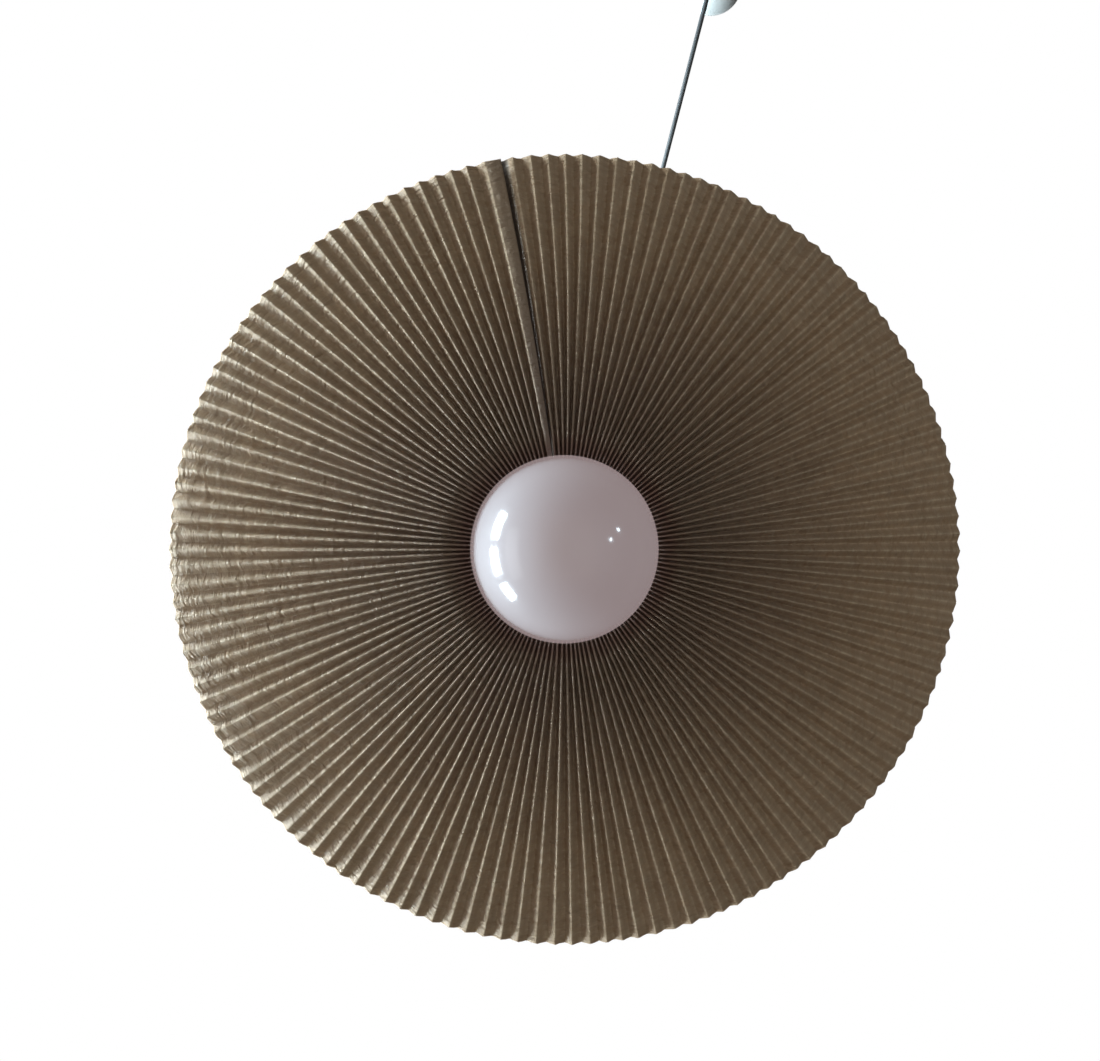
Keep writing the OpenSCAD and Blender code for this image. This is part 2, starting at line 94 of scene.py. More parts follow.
# The cord's route over the saddle and down to the rose, in its own upright plane:
# (distance from the lamp's axis, height), the same points as the CAD route.
SWAG_ROUTE = [
    (0, -0.042), (0.0008, -0.0368), (0.0028, -0.032), (0.006, -0.0278), (0.010, -0.0246),
    (0.015, -0.0226), (0.020, -0.022), (0.025, -0.0227), (0.030, -0.0248), (0.045, -0.0332),
    (0.070, -0.0475), (0.105, -0.0665), (0.150, -0.0885), (0.205, -0.113), (0.270, -0.1385),
    (0.340, -0.163), (0.410, -0.184), (0.480, -0.201), (0.545, -0.213), (0.600, -0.2195),
    (0.645, -0.221), (0.678, -0.218), (0.704, -0.211), (0.725, -0.198), (0.740, -0.181),
    (0.748, -0.161), (0.750, -0.140), (0.750, -0.115), (0.750, -0.090), (0.750, -0.062),
    (0.750, -0.036),
]


# ---- Mesh helpers ----

def new_object(name, points, faces, smooth_angle=40):
    """A mesh object, shaded smooth except over edges sharper than smooth_angle degrees."""
    mesh = bpy.data.meshes.new(name)
    mesh.from_pydata([tuple(p) for p in points], [], faces)
    mesh.update()
    mesh.polygons.foreach_set("use_smooth", [True] * len(mesh.polygons))
    mesh.set_sharp_from_angle(angle=math.radians(smooth_angle))
    obj = bpy.data.objects.new(name, mesh)
    scene.collection.objects.link(obj)
    return obj


def install(obj, body, material, *nodes):
    """Gives a piece its material, puts it on its body and has it stand for its CAD nodes."""
    obj.data.materials.clear()
    obj.data.materials.append(material)
    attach(obj, body)
    if nodes:
        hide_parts(*nodes)
    return obj


def grid_faces(rows, columns, close_rows=False, close_columns=True):
    """Quads of a grid of points that runs row by row."""
    faces = []
    for i in range(rows if close_rows else rows - 1):
        for j in range(columns if close_columns else columns - 1):
            a, b = i * columns, ((i + 1) % rows) * columns
            k = (j + 1) % columns
            faces.append((a + j, a + k, b + k, b + j))
    return faces


def rounded(profile, radius, steps=3):
    """A closed outline with its corners rounded, each by at most a third of its sides."""
    made = []
    for i, (x, y) in enumerate(profile):
        here = Vector((x, y))
        before = Vector(profile[i - 1]) - here
        after = Vector(profile[(i + 1) % len(profile)]) - here
        if x < 1e-6 or before.angle(after) > math.radians(165):
            made.append((x, y))
            continue
        cut = min(radius, before.length / 3, after.length / 3)
        start, end = here + before.normalized() * cut, here + after.normalized() * cut
        for k in range(steps + 1):
            t = k / steps
            p = start * (1 - t) ** 2 + here * 2 * t * (1 - t) + end * t * t
            made.append((p.x, p.y))
    return made


def revolve(name, profile, at=(0, 0), base=0.0, steps=128, shape=None):
    """Turns a closed outline of (radius, height) points round an upright axis.

    shape(radius, height, angle), where given, returns the radius to use there.
    """
    points, faces, rings = [], [], []
    for r, z in profile:
        if r < 1e-6:
            rings.append([len(points)] * steps)
            points.append((at[0], at[1], base + z))
            continue
        rings.append([len(points) + j for j in range(steps)])
        for j in range(steps):
            a = 2 * math.pi * j / steps
            q = shape(r, z, a) if shape else r
            points.append((at[0] + q * math.cos(a), at[1] + q * math.sin(a), base + z))
    for i in range(len(rings)):
        low, high = rings[i], rings[(i + 1) % len(rings)]
        for j in range(steps):
            k = (j + 1) % steps
            corners = [low[j], low[k], high[k], high[j]]
            face = [c for n, c in enumerate(corners) if c != corners[n - 1]]
            if len(face) > 2:
                faces.append(face)
    obj = new_object(name, points, faces)
    face_out(obj)
    return obj


def face_out(obj):
    """Turns a closed mesh's faces outwards."""
    mesh = obj.data
    mesh.calc_loop_triangles()
    volume = 0.0
    for t in mesh.loop_triangles:
        a, b, c = (mesh.vertices[v].co for v in t.vertices)
        volume += a.dot(b.cross(c))
    if volume < 0:
        mesh.flip_normals()


def spline(points, step):
    """A smooth curve through the points, sampled about every step."""
    p = np.array(points, float)
    made = []
    for i in range(len(p) - 1):
        a, b, c, d = p[max(i - 1, 0)], p[i], p[i + 1], p[min(i + 2, len(p) - 1)]
        n = max(1, round(float(np.linalg.norm(c - b)) / step))
        for u in np.arange(n) / n:
            made.append(0.5 * (2 * b + (c - a) * u + (2 * a - 5 * b + 4 * c - d) * u * u
                               + (3 * b - a - 3 * c + d) * u ** 3))
    return np.array(made + [p[-1]])


def sweep(name, path, radius, sides=16, shape=None):
    """A round tube along a path, with closed ends.

    shape(distance, angle), where given, scales the radius.
    """
    path = np.array(path, float)
    way = np.gradient(path, axis=0)
    way /= np.linalg.norm(way, axis=1)[:, None]
    side = np.cross(way[0], (1, 0, 0))
    side /= np.linalg.norm(side)
    along = np.concatenate([[0], np.cumsum(np.linalg.norm(np.diff(path, axis=0), axis=1))])
    points, sides_v = [], []
    for i, t in enumerate(way):
        side = side - t * side.dot(t)
        side /= np.linalg.norm(side)
        up = np.cross(t, side)
        for k in range(sides):
            a = 2 * math.pi * k / sides
            r = radius * (shape(along[i], a) if shape else 1)
            points.append(path[i] + r * (math.cos(a) * side + math.sin(a) * up))
    n = len(path)
    faces = grid_faces(n, sides)
    faces += [list(range(sides))[::-1], list(range((n - 1) * sides, n * sides))]
    obj = new_object(name, points, faces, 60)
    layer = obj.data.uv_layers.new(name="sheath")
    for loop in obj.data.loops:
        i, k = divmod(loop.vertex_index, sides)
        layer.data[loop.index].uv = (along[i], k / sides)
    face_out(obj)
    return obj


def joined(name, objects):
    """Several mesh objects as one piece."""
    bpy.ops.object.select_all(action="DESELECT")
    for o in objects:
        o.select_set(True)
    bpy.context.view_layer.objects.active = objects[0]
    bpy.ops.object.join()
    objects[0].name = objects[0].data.name = name
    return objects[0]


def polished(node, width=0.25 * MM, angle=30, segments=2):
    """A copy of a CAD node with its sharp edges rounded over, in place of the node."""
    source = frame["nodes"][node]
    obj = bpy.data.objects.new(f"{node}_finished", source.data.copy())
    scene.collection.objects.link(obj)
    bpy.context.view_layer.objects.active = obj
    weld = obj.modifiers.new("weld", "WELD")
    weld.merge_threshold = 5e-6
    flat = obj.modifiers.new("flat", "DECIMATE")
    flat.decimate_type = "DISSOLVE"
    flat.angle_limit = math.radians(0.5)
    bevel = obj.modifiers.new("edges", "BEVEL")
    bevel.width = width
    bevel.segments = segments
    bevel.limit_method = "ANGLE"
    bevel.angle_limit = math.radians(angle)
    bevel.use_clamp_overlap = True
    for modifier in [m.name for m in obj.modifiers]:
        bpy.ops.object.modifier_apply(modifier=modifier)
    obj.data.polygons.foreach_set("use_smooth", [True] * len(obj.data.polygons))
    obj.data.set_sharp_from_angle(angle=math.radians(50))
    return obj


# ---- Materials ----

class Finish:
    """A Principled material and short ways to add nodes to it."""

    def __init__(self, slot, base, roughness, **sockets):
        self.material = bpy.data.materials.new(slot)
        self.material["slot"] = slot
        self.material.use_nodes = True
        self.nodes = self.material.node_tree.nodes
        self.links = self.material.node_tree.links
        self.shader = self.nodes["Principled BSDF"]
        self.base = base
        self.shader.inputs["Base Color"].default_value = (*base, 1)
        self.shader.inputs["Roughness"].default_value = roughness
        for name, value in sockets.items():
            self.shader.inputs[name.replace("_", " ")].default_value = value

    def put(self, socket, value):
        if hasattr(value, "links"):
            self.links.new(value, socket)
        else:
            socket.default_value = value

    def place(self, uv=None, stretch=(1, 1, 1), turn=(0, 0, 0)):
        """Coordinates on the piece: its own metres, or those of a UV map."""
        if uv:
            source = self.nodes.new("ShaderNodeUVMap")
            source.uv_map = uv
            out = source.outputs["UV"]
        else:
            out = self.nodes.new("ShaderNodeTexCoord").outputs["Object"]
        mapping = self.nodes.new("ShaderNodeMapping")
        mapping.inputs["Scale"].default_value = stretch
        mapping.inputs["Rotation"].default_value = turn
        self.links.new(out, mapping.inputs["Vector"])
        return mapping.outputs["Vector"]

    def noise(self, scale, place=None, detail=4.0, roughness=0.55, distortion=0.0):
        node = self.nodes.new("ShaderNodeTexNoise")
        node.inputs["Scale"].default_value = scale
        node.inputs["Detail"].default_value = detail
        node.inputs["Roughness"].default_value = roughness
        node.inputs["Distortion"].default_value = distortion
        self.put(node.inputs["Vector"], place or self.place())
        return node.outputs["Fac"]

    def wave(self, scale, place, direction="X", distortion=0.0):
        node = self.nodes.new("ShaderNodeTexWave")
        node.bands_direction = direction
        node.inputs["Scale"].default_value = scale
        node.inputs["Distortion"].default_value = distortion
        self.put(node.inputs["Vector"], place)
        return node.outputs["Fac"]

    def spread(self, value, low, high, to_low=0.0, to_high=1.0):
        """Stretches a value's range from low..high to to_low..to_high, and cuts it off there."""
        node = self.nodes.new("ShaderNodeMapRange")
        for socket, number in zip(("From Min", "From Max", "To Min", "To Max"),
                                  (low, high, to_low, to_high), strict=True):
            node.inputs[socket].default_value = number
        self.put(node.inputs["Value"], value)
        return node.outputs["Result"]

    def math(self, operation, a, b=0.0):
        node = self.nodes.new("ShaderNodeMath")
        node.operation = operation
        self.put(node.inputs[0], a)
        self.put(node.inputs[1], b)
        return node.outputs[0]

    def mix(self, share, a, b):
        """Colour a at share 0 and b at share 1."""
        node = self.nodes.new("ShaderNodeMix")
        node.data_type = "RGBA"
        self.put(node.inputs["Factor"], share)
        for socket, colour in ((node.inputs[6], a), (node.inputs[7], b)):
            self.put(socket, colour if hasattr(colour, "links") else (*colour, 1))
        return node.outputs[2]

    def attribute(self, name):
        node = self.nodes.new("ShaderNodeAttribute")
        node.attribute_name = name
        return node.outputs["Fac"]

    def tone(self, factor):
        """The base colour, lighter or darker."""
        return tuple(min(1.0, c * factor) for c in self.base)

    def colour(self, value):
        self.put(self.shader.inputs["Base Color"], value)

    def rough(self, value):
        self.put(self.shader.inputs["Roughness"], value)

    def bump(self, *layers):
        """Bump layers, each (height, distance in metres, strength)."""
        normal = None
        for height, distance, strength in layers:
            node = self.nodes.new("ShaderNodeBump")
            node.inputs["Distance"].default_value = distance
            node.inputs["Strength"].default_value = strength
            self.put(node.inputs["Height"], height)
            if normal:
                self.links.new(normal, node.inputs["Normal"])
            normal = node.outputs["Normal"]
        self.links.new(normal, self.shader.inputs["Normal"])


def shade_paper():
    """Khaki-brown lampshade paper: fibres, cloudy dye and cross-wise crinkles, with painted highlights
    along the crests and painted shade on the lap, in the slit beside it and towards the waist.
    """
    f = Finish("shade_paper", (0.355, 0.225, 0.130), 0.58, Specular_IOR_Level=0.45)
    sheet = f.place("sheet")
    clouds = f.noise(38, sheet, 5, 0.6)
    blotch = f.noise(170, sheet, 4, 0.65, 0.6)
    fibres = f.noise(1, f.place("sheet", (2600, 420, 1)), 3, 0.6)
    cross = f.noise(1, f.place("sheet", (110, 420, 1)), 4, 0.6, 1.2)
    ripple = f.noise(1, f.place("sheet", (40, 140, 1)), 3, 0.55, 0.8)
    crest = f.attribute("crest")
    # Painted highlight: pale lines along the pleats' crests.
    crest_highlight = f.math("MULTIPLY", crest, f.spread(f.noise(1, f.place("sheet", (60, 240, 1)), 3, 0.7),
                                             0.36, 0.62))
    body = f.mix(f.spread(clouds, 0.3, 0.7), f.tone(0.88), f.tone(1.12))
    body = f.mix(f.spread(blotch, 0.35, 0.72, 0.0, 0.5), body, (0.325, 0.235, 0.160))
    body = f.mix(f.spread(cross, 0.5, 0.72, 0.0, 0.35), body, (0.47, 0.345, 0.225))
    body = f.mix(f.spread(fibres, 0.42, 0.7, 0.0, 0.22), body, (0.27, 0.18, 0.108))
    body = f.mix(f.math("MULTIPLY", crest_highlight, 0.45), body, (0.68, 0.53, 0.36))
    # Painted shade: the flat lap is coloured darker than the rest of the paper.
    body = f.mix(f.attribute("lap_shade"), body, (0.235, 0.158, 0.100))
    # Painted shadow: near-black in the slit beside the lap.
    body = f.mix(f.attribute("slit_shadow"), body, (0.035, 0.024, 0.020))
    # Painted shade: the paper is coloured darker towards the waist, where the narrowing folds lie in
    # shade.
    painted_waist_shade = f.spread(f.attribute("inward"), 0.25, 0.95, 0.0, 0.60)
    f.colour(f.mix(painted_waist_shade, body, (0.145, 0.100, 0.086)))
    f.rough(f.spread(blotch, 0.3, 0.7, 0.50, 0.66))
    f.bump((ripple, 0.0028, 0.75), (cross, 0.0012, 0.8), (fibres, 0.0003, 0.35), (blotch, 0.0005, 0.3))
    return f.material


def cotton_string():
    f = Finish("cotton_string", (0.60, 0.51, 0.37), 0.9, Sheen_Weight=0.3)
    grain = f.noise(2500, None, 3, 0.7)
    f.colour(f.mix(f.spread(grain, 0.3, 0.7), f.tone(0.75), f.tone(1.15)))
    f.bump((grain, 0.0003, 0.6))
    return f.material


def powder_coat():
    f = Finish("carrier_wire", (0.82, 0.82, 0.80), 0.42)
    peel = f.noise(900, None, 2, 0.5)
    f.colour(f.mix(f.spread(f.noise(60), 0.3, 0.7), f.tone(0.93), f.tone(1.03)))
    f.rough(f.spread(f.noise(140), 0.3, 0.7, 0.36, 0.52))
    f.bump((peel, 0.0002, 0.25))
    return f.material


def moulding(slot, base, roughness, dust=0.0, grain=1400, **sockets):
    """Moulded plastic: fine spark grain, flow clouds, a little dust and uneven gloss."""
    f = Finish(slot, base, roughness, **sockets)
    clouds = f.noise(45, None, 4, 0.6)
    skin = f.mix(f.spread(clouds, 0.3, 0.7), f.tone(0.92), f.tone(1.07))
    specks = f.spread(f.noise(700, None, 3, 0.7), 0.56, 0.75, 0.0, dust)
    f.colour(f.mix(specks, skin, (0.55, 0.53, 0.50)))
    f.rough(f.spread(clouds, 0.3, 0.7, roughness * 0.85, min(1.0, roughness * 1.25)))
    f.bump((f.noise(grain, None, 2, 0.5), 0.00012, 0.35))
    return f.material


def metal(slot, base, roughness, tarnish, streak=(1, 1, 1), streaks=800):
    """Bare or plated metal with tarnish clouds and fine working marks."""
    f = Finish(slot, base, roughness, Metallic=1.0)
    clouds = f.noise(130, None, 5, 0.6)
    lines = f.noise(streaks, f.place(stretch=streak), 3, 0.6)
    body = f.mix(f.spread(clouds, 0.42, 0.75, 0.0, 0.6), base, tarnish)
    f.colour(f.mix(f.spread(lines, 0.35, 0.7, 0.0, 0.25), body, f.tone(0.72)))
    f.rough(f.spread(clouds, 0.3, 0.7, roughness * 0.75, min(1.0, roughness * 1.5)))
    f.bump((lines, 0.00008, 0.4))
    return f.material


def porcelain():
    f = Finish("porcelain", (0.84, 0.81, 0.74), 0.16, Coat_Weight=0.5, Coat_Roughness=0.08)
    spots = f.spread(f.noise(900, None, 2, 0.6), 0.66, 0.74, 0.0, 0.5)
    body = f.mix(f.spread(f.noise(60), 0.3, 0.7), f.tone(0.95), f.tone(1.03))
    f.colour(f.mix(spots, body, (0.45, 0.38, 0.30)))
    f.bump((f.noise(350, None, 2, 0.5), 0.0002, 0.2))
    return f.material


def cord_sheath():
    """Round PVC sheath: satin, with the two cores' lay just showing and faint scuffs."""
    f = Finish("cord_sheath", (0.070, 0.071, 0.072), 0.42, Specular_IOR_Level=0.45)
    place = f.place("sheath", (1, 1, 1))
    scuffs = f.noise(1, f.place("sheath", (90, 9, 1)), 4, 0.65)
    lay = f.wave(1, f.place("sheath", (14, 2, 1)), "DIAGONAL")
    f.colour(f.mix(f.spread(scuffs, 0.52, 0.78, 0.0, 0.5), f.base, (0.14, 0.14, 0.14)))
    f.rough(f.spread(scuffs, 0.3, 0.7, 0.34, 0.55))
    f.bump((lay, 0.00012, 0.3), (f.noise(900, place, 2, 0.5), 0.00006, 0.3))
    return f.material


def opal_glass():
    """Glossy opal glass with a faint pinkish painted glow: its emission stands in for daylight scattered
    inside the globe.
    """
    # Painted light: the emission makes the unlit globe glow evenly.
    f = Finish("opal_glass", (0.135, 0.128, 0.130), 0.11, Specular_IOR_Level=0.5,
               Emission_Color=(1.0, 0.78, 0.79, 1), Emission_Strength=0.25)
    milk = f.noise(16, None, 3, 0.5)
    f.colour(f.mix(f.spread(milk, 0.35, 0.65), f.tone(0.975), f.tone(1.02)))
    dust = f.noise(420, None, 4, 0.7)
    f.rough(f.spread(dust, 0.5, 0.75, 0.10, 0.18))
    return f.material


def clear_glass():
    f = Finish("clear_glass", (0.93, 0.96, 0.96), 0.03, Transmission_Weight=0.9)
    f.rough(f.spread(f.noise(300), 0.4, 0.7, 0.02, 0.10))
    return f.material


def phosphor():
    f = Finish("filament", (0.86, 0.66, 0.18), 0.55)
    grain = f.noise(3500, None, 2, 0.6)
    f.colour(f.mix(f.spread(grain, 0.3, 0.7), f.tone(0.85), f.tone(1.1)))
    f.bump((grain, 0.0001, 0.4))
    return f.material


def black_glass():
    f = Finish("black_glass", (0.015, 0.015, 0.018), 0.08)
    f.rough(f.spread(f.noise(300, None, 4), 0.4, 0.7, 0.05, 0.2))
    f.bump((f.noise(200, None, 2), 0.0003, 0.3))
    return f.material


def make_materials():
    made = [
        shade_paper(), cotton_string(), powder_coat(), porcelain(), cord_sheath(), opal_glass(),
        clear_glass(), phosphor(), black_glass(),
        moulding("black_thermoset", (0.028, 0.027, 0.027), 0.30, 0.10, Coat_Weight=0.2),
        moulding("black_polyamide", (0.040, 0.040, 0.042), 0.48, 0.12),
        moulding("white_plastic", (0.84, 0.84, 0.81), 0.30, 0.05, Coat_Weight=0.1),
        moulding("terminal_plastic", (0.80, 0.79, 0.73), 0.50, 0.04,
                 Subsurface_Weight=0.2, Subsurface_Scale=0.002),
        moulding("core_insulation", (0.26, 0.115, 0.055), 0.38, 0.04),
        metal("brass", (0.80, 0.60, 0.28), 0.30, (0.45, 0.30, 0.14), (1, 1, 6)),
        metal("zinc_steel", (0.66, 0.67, 0.68), 0.32, (0.50, 0.50, 0.47), (6, 1, 1)),
        metal("nickel", (0.74, 0.71, 0.66), 0.20, (0.52, 0.48, 0.42), (1, 1, 8)),
        metal("solder", (0.62, 0.62, 0.62), 0.38, (0.42, 0.42, 0.43)),
    ]
    return {m["slot"]: m for m in made}


MATERIALS = make_materials()


# ---- Camera and light ----

CAMERA_BELOW = 0.750                    # from the rim down to the camera
FLOOR_Z = -2.3
LAMP_AT = Vector((0, 0, -DROP))
REACH = 2.3                             # from the lamp to the window panes
WINDOW = 23.0                           # brightness of a window pane
DAYLIGHT = (0.72, 0.90, 1.0)
PANE_SPREAD = 90
# Windows on the lamp's +X side: azimuth in degrees, width, share of the full brightness.
WINDOWS = ((44, 0.50, 0.7), (20, 0.94, 1.0), (-10, 0.89, 1.0), (-37, 0.61, 1.0), (-54, 0.40, 0.4))
# The lower and the upper panes of each window: name, elevations in degrees.
WINDOW_PARTS = (("low", -3.8, 0.0), ("high", 1.0, 8.5))


def add_camera():
    """Looks straight up from under the lamp, with +Y at the top of the picture."""
    data = bpy.data.cameras.new("camera")
    data.lens = 36.87
    data.sensor_width = 36
    data.shift_x, data.shift_y = -0.0131, 0.0171
    camera = bpy.data.objects.new("camera", data)
    scene.collection.objects.link(camera)
    camera.location = (0.0, 0.0, -DROP - CAMERA_BELOW)
    right, up, back = Vector((-1, 0, 0)), Vector((0, 1, 0)), Vector((0, 0, -1))
    camera.rotation_euler = Matrix((right, up, back)).transposed().to_euler()
    scene.camera = camera


def area_light(name, at, target, size, power, colour, spread=180):
    data = bpy.data.lights.new(name, "AREA")
    data.shape = "RECTANGLE"
    data.size, data.size_y = size
    data.energy = power
    data.color = colour
    data.spread = math.radians(spread)
    lamp = bpy.data.objects.new(name, data)
    lamp.location = at
    lamp.visible_camera = False
    direction = Vector(target) - Vector(at)
    lamp.rotation_euler = direction.to_track_quat("-Z", "Y").to_euler()
    scene.collection.objects.link(lamp)
    return lamp


def pane(name, azimuth, low, high, width, bright, colour=DAYLIGHT):
    """A window pane REACH away, at an azimuth and between two elevations, all in degrees."""
    a, middle = math.radians(azimuth), math.radians((low + high) / 2)
    at = Vector((math.cos(a) * math.cos(middle), math.sin(a) * math.cos(middle), math.sin(middle)))
    tall = REACH * math.radians(high - low)
    power = bright * math.pi * width * tall
    return area_light(name, at * REACH + LAMP_AT, LAMP_AT, (width, tall), power, colour, PANE_SPREAD)


def camera_sees(lighting, plain, surface, nodes, links):
    """Shows the camera a plain tone, while everything else gets the shader that lights the scene."""
    path = nodes.new("ShaderNodeLightPath")
    choose = nodes.new("ShaderNodeMixShader")
    links.new(path.outputs["Is Camera Ray"], choose.inputs[0])
    links.new(lighting, choose.inputs[1])
    links.new(plain, choose.inputs[2])
    links.new(choose.outputs[0], surface)


def add_light():
    """A row of windows on the lamp's +X side, almost level with it, in a dim warm room."""
    for i, (azimuth, width, share) in enumerate(WINDOWS):
        for part, low, high in WINDOW_PARTS:
            lamp = pane(f"window_{part}_{i}", azimuth, low, high, width, WINDOW * share)
            lamp.visible_glossy = share == 1.0
    pane("sill", -5, -34, -16, 2.2, 0.45, (0.9, 0.95, 1.0))
    area_light("floor_glow", (0, 0, -2.25), LAMP_AT, (2.4, 2.4), 2.3, (1.0, 0.74, 0.52))
    pane("lamp_far", 160, -20, -17, 0.12, 10.0)
    pane("lamp_near", 168, -34, -31, 0.12, 10.0)
    area_light("overhead", (0.2, 0.3, 1.7), LAMP_AT, (2.0, 2.0), 7.0, (1.0, 0.97, 0.94), PANE_SPREAD)
    world = bpy.data.worlds.new("room")
    scene.world = world
    world.use_nodes = True
    nodes, links = world.node_tree.nodes, world.node_tree.links
    room = nodes["Background"]
    room.inputs["Color"].default_value = (1.0, 0.76, 0.60, 1)
    room.inputs["Strength"].default_value = 0.030
    backdrop = nodes.new("ShaderNodeBackground")
    backdrop.inputs["Color"].default_value = (1, 1, 1, 1)
    backdrop.inputs["Strength"].default_value = 1.0
    surface = nodes["World Output"].inputs["Surface"]
    camera_sees(room.outputs[0], backdrop.outputs[0], surface, nodes, links)


def add_floor():
    """A plain pale floor."""
    f = Finish("floor", (0.62, 0.60, 0.57), 0.75)
    f.colour(f.mix(f.noise(3), (0.61, 0.59, 0.56), (0.63, 0.61, 0.58)))
    pale = f.nodes.new("ShaderNodeEmission")
    pale.inputs["Color"].default_value = (0.78, 0.77, 0.75, 1)
    surface = f.nodes["Material Output"].inputs["Surface"]
    camera_sees(f.shader.outputs[0], pale.outputs[0], surface, f.nodes, f.links)
    half = 8.0
    corners = [(x * half, y * half, FLOOR_Z) for x, y in ((-1, -1), (1, -1), (1, 1), (-1, 1))]
    floor = new_object("floor", corners, [(0, 1, 2, 3)])
    floor.data.materials.append(f.material)


add_camera()
add_light()
add_floor()
scene.view_settings.view_transform = "Standard"


# ---- The cord ----

CORD_END_H = 0.146          # of the cord's end in the lampholder
CORD_STEP = 0.004


def in_swag_plane(distance, height):
    return (-distance * math.sin(SWAG_TURN), distance * math.cos(SWAG_TURN), height)


def make_cord():
    """One cord from the lampholder up over the hook's saddle and across to the rose."""
    drop = [(0, 0, z) for z in np.linspace(-DROP + CORD_END_H, SWAG_ROUTE[0][1] - CORD_STEP, 24)]
    route = drop + [in_swag_plane(s, z) for s, z in SWAG_ROUTE]
    path = spline(route, CORD_STEP)
    # The last stretch into the rose is plumb: the curve through the route may not swing past it.
    out = np.hypot(path[:, 0], path[:, 1])
    path[:, :2] *= (np.minimum(out, SWAG_SPAN) / np.maximum(out, 1e-9))[:, None]
    cord = sweep("mains_cord", path, CORD_D / 2, 20)
    cord.data.materials.append(MATERIALS["cord_sheath"])
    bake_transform(cord)
    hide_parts("cord_drop", "cord_swag")


make_cord()


# ---- The pleated shade ----

SEAM_AT = math.radians(78.3)     # the ridge on the near side of the glued lap, at the rim
SEAM_TWIST = math.radians(1.9)   # how far the lap has wandered round at the waist
LAP_PITCHES = 1.66               # from the lap's ridge to the next ridge, in pleats
LAP_TWIST_REACH = 1.2            # how far round from the lap the pleats follow it, in radians
SKIRT_ROWS, CROWN_ROWS = 24, 10


def shade_profile():
    """Rows of the shade from rim to collar: radius, height and the outward normal's tilt."""
    # A narrow first row keeps the rim's edge from softening the shading of the skirt.
    skirt = np.concatenate([[0.0], np.linspace(0.003, 1, SKIRT_ROWS)])
    rim, kink = np.array((RIM_R, 0)), np.array((KINK_R, KINK_H))
    waist, collar = np.array((WAIST_R, WAIST_H)), np.array((COLLAR_R, COLLAR_H))
    bend_share = 0.010 / 0.187      # of the skirt's length, taken up by the bend into the crown
    rows = [rim + (kink - rim) * (1 - bend_share) * t for t in skirt]
    start = rows[-1]
    end = kink + (waist - kink) * 0.12
    rows += [start * (1 - t) ** 2 + kink * 2 * t * (1 - t) + end * t * t for t in (0.2, 0.4, 0.6, 0.8, 1)]
    rows += [end + (waist - end) * t for t in np.linspace(0, 1, CROWN_ROWS)[1:-1]]
    below = rows[-1]
    above = waist + (collar - waist) * 0.3
    rows += [below * (1 - t) ** 2 + waist * 2 * t * (1 - t) + above * t * t for t in (0.33, 0.66, 1)]
    rows += [above + (collar - above) * t for t in (0.35, 0.7, 1)]
    rows = np.array(rows)
    way = np.gradient(rows, axis=0)
    tilt = np.arctan2(way[:, 1], -way[:, 0])
    return rows[:, 0], rows[:, 1], tilt


def smooth_noise(rng, rows, columns, row_step):
    """Random heights of about unit size, which change slowly from row to row."""
    coarse = rng.normal(size=(int(rows / row_step) + 3, columns))
    at = np.arange(rows) / row_step
    i = at.astype(int)
    t = (at - i)[:, None]
    t = t * t * (3 - 2 * t)
    return coarse[i] * (1 - t) + coarse[i + 1] * t


